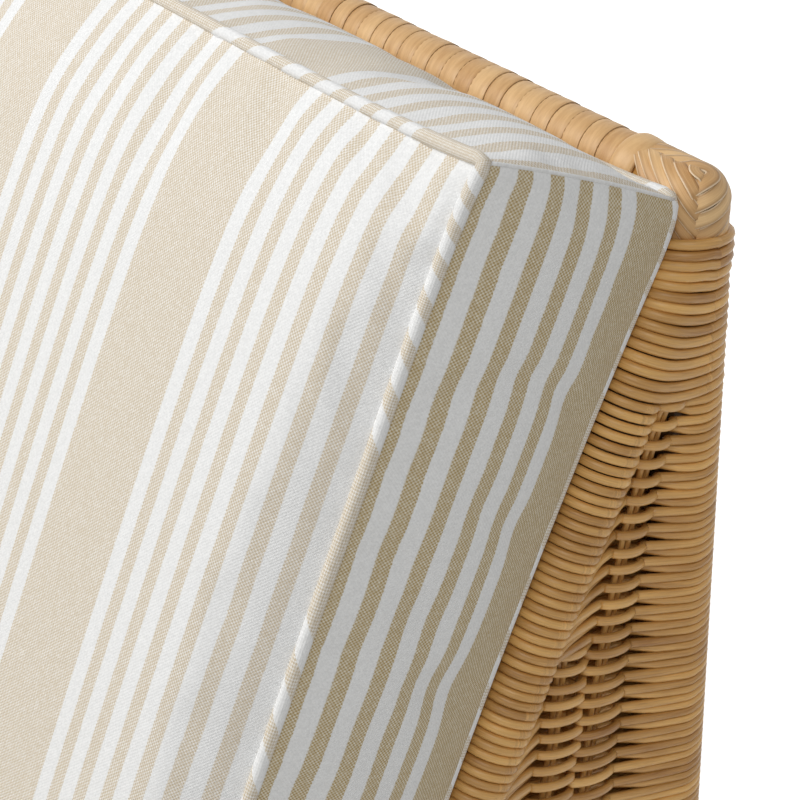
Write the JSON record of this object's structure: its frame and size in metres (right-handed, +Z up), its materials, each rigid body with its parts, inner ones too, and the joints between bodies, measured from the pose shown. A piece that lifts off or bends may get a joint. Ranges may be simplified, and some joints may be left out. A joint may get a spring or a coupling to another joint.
{
  "type": "outdoor lounge chair",
  "caption": "Deep-seated outdoor lounge chair without arms: resin wicker woven over an aluminium tube frame, with a striped box seat cushion and a striped box back cushion.",
  "frame": {"origin": "on the floor, under the middle of the chair's footprint", "axes": "+Z up, the chair faces -Y, +X is the side on the sitter's left"},
  "size_m": [0.7652, 0.9016, 0.8615],
  "materials": {
    "wicker": "round resin cane, honey to grey-brown, satin",
    "tube": "brown powder coat",
    "fabric": "woven outdoor cloth, white and beige stripes",
    "piping": "piping cord in bias-cut cover cloth",
    "foam": "open-cell polyurethane foam",
    "nylon": "moulded, dark",
    "zip_tape": "woven tape with moulded teeth",
    "zip_metal": "enamelled zinc"
  },
  "bodies": {
    "chair": {"back_bar_1": "tube", "back_bar_2": "tube", "back_cushion_cover": "fabric", "back_cushion_foam": "foam", "back_cushion_piping_lower": "piping", "back_cushion_piping_upper": "piping", "back_rail": "tube", "back_stile_left": "tube", "back_stile_right": "tube", "back_zip_tape": "zip_tape", "corner_binding_left": "wicker", "corner_binding_right": "wicker", "corner_knob_left": "wicker", "corner_knob_right": "wicker", "deck_bearer_1": "tube", "deck_bearer_2": "tube", "foot_wrap_front_left": "wicker", "foot_wrap_front_right": "wicker", "foot_wrap_rear_left": "wicker", "foot_wrap_rear_right": "wicker", "front_leg_left": "tube", "front_leg_right": "tube", "front_seat_rail": "tube", "front_skirt": "wicker", "glide_front_left": "nylon", "glide_front_right": "nylon", "glide_rear_left": "nylon", "glide_rear_right": "nylon", "inner_back": "wicker", "leg_cap_left": "nylon", "leg_cap_right": "nylon", "lower_front_rail": "tube", "lower_rail_left": "tube", "lower_rail_right": "tube", "lower_rear_rail": "tube", "outer_back": "wicker", "rail_binding": "wicker", "rail_collar_left": "wicker", "rail_collar_right": "wicker", "rear_post_left": "tube", "rear_post_right": "tube", "rear_rail_wrap": "wicker", "rear_seat_rail": "tube", "seat_cushion_cover": "fabric", "seat_cushion_foam": "foam", "seat_cushion_piping_lower": "piping", "seat_cushion_piping_upper": "piping", "seat_deck": "wicker", "seat_rail_left": "tube", "seat_rail_right": "tube", "seat_zip_tape": "zip_tape", "side_panel_left": "wicker", "side_panel_right": "wicker", "side_skirt_left": "wicker", "side_skirt_right": "wicker", "top_rail": "tube"},
    "seat_slider": {"seat_zip_slider": "zip_metal"},
    "seat_tab": {"seat_zip_tab": "zip_metal"},
    "back_slider": {"back_zip_slider": "zip_metal"},
    "back_tab": {"back_zip_tab": "zip_metal"}
  },
  "joints": [
    {"name": "seat_zip_slide", "type": "slide", "parent": "chair", "child": "seat_slider", "axis": [1, 0, 0], "range_m": [-0.6, 0]},
    {"name": "seat_tab_swing", "type": "hinge", "parent": "seat_slider", "child": "seat_tab", "pos_m": [0.3, 0.15308, 0.34329], "axis": [0, 0.0698, 0.9976], "range_deg": [-180, 0]},
    {"name": "back_zip_slide", "type": "slide", "parent": "chair", "child": "back_slider", "axis": [1, 0, 0], "range_m": [-0.6, 0]},
    {"name": "back_tab_swing", "type": "hinge", "parent": "back_slider", "child": "back_tab", "pos_m": [0.3, 0.16838, 0.38238], "axis": [0, 0.9976, -0.0698], "range_deg": [-90, 90]}
  ]
}
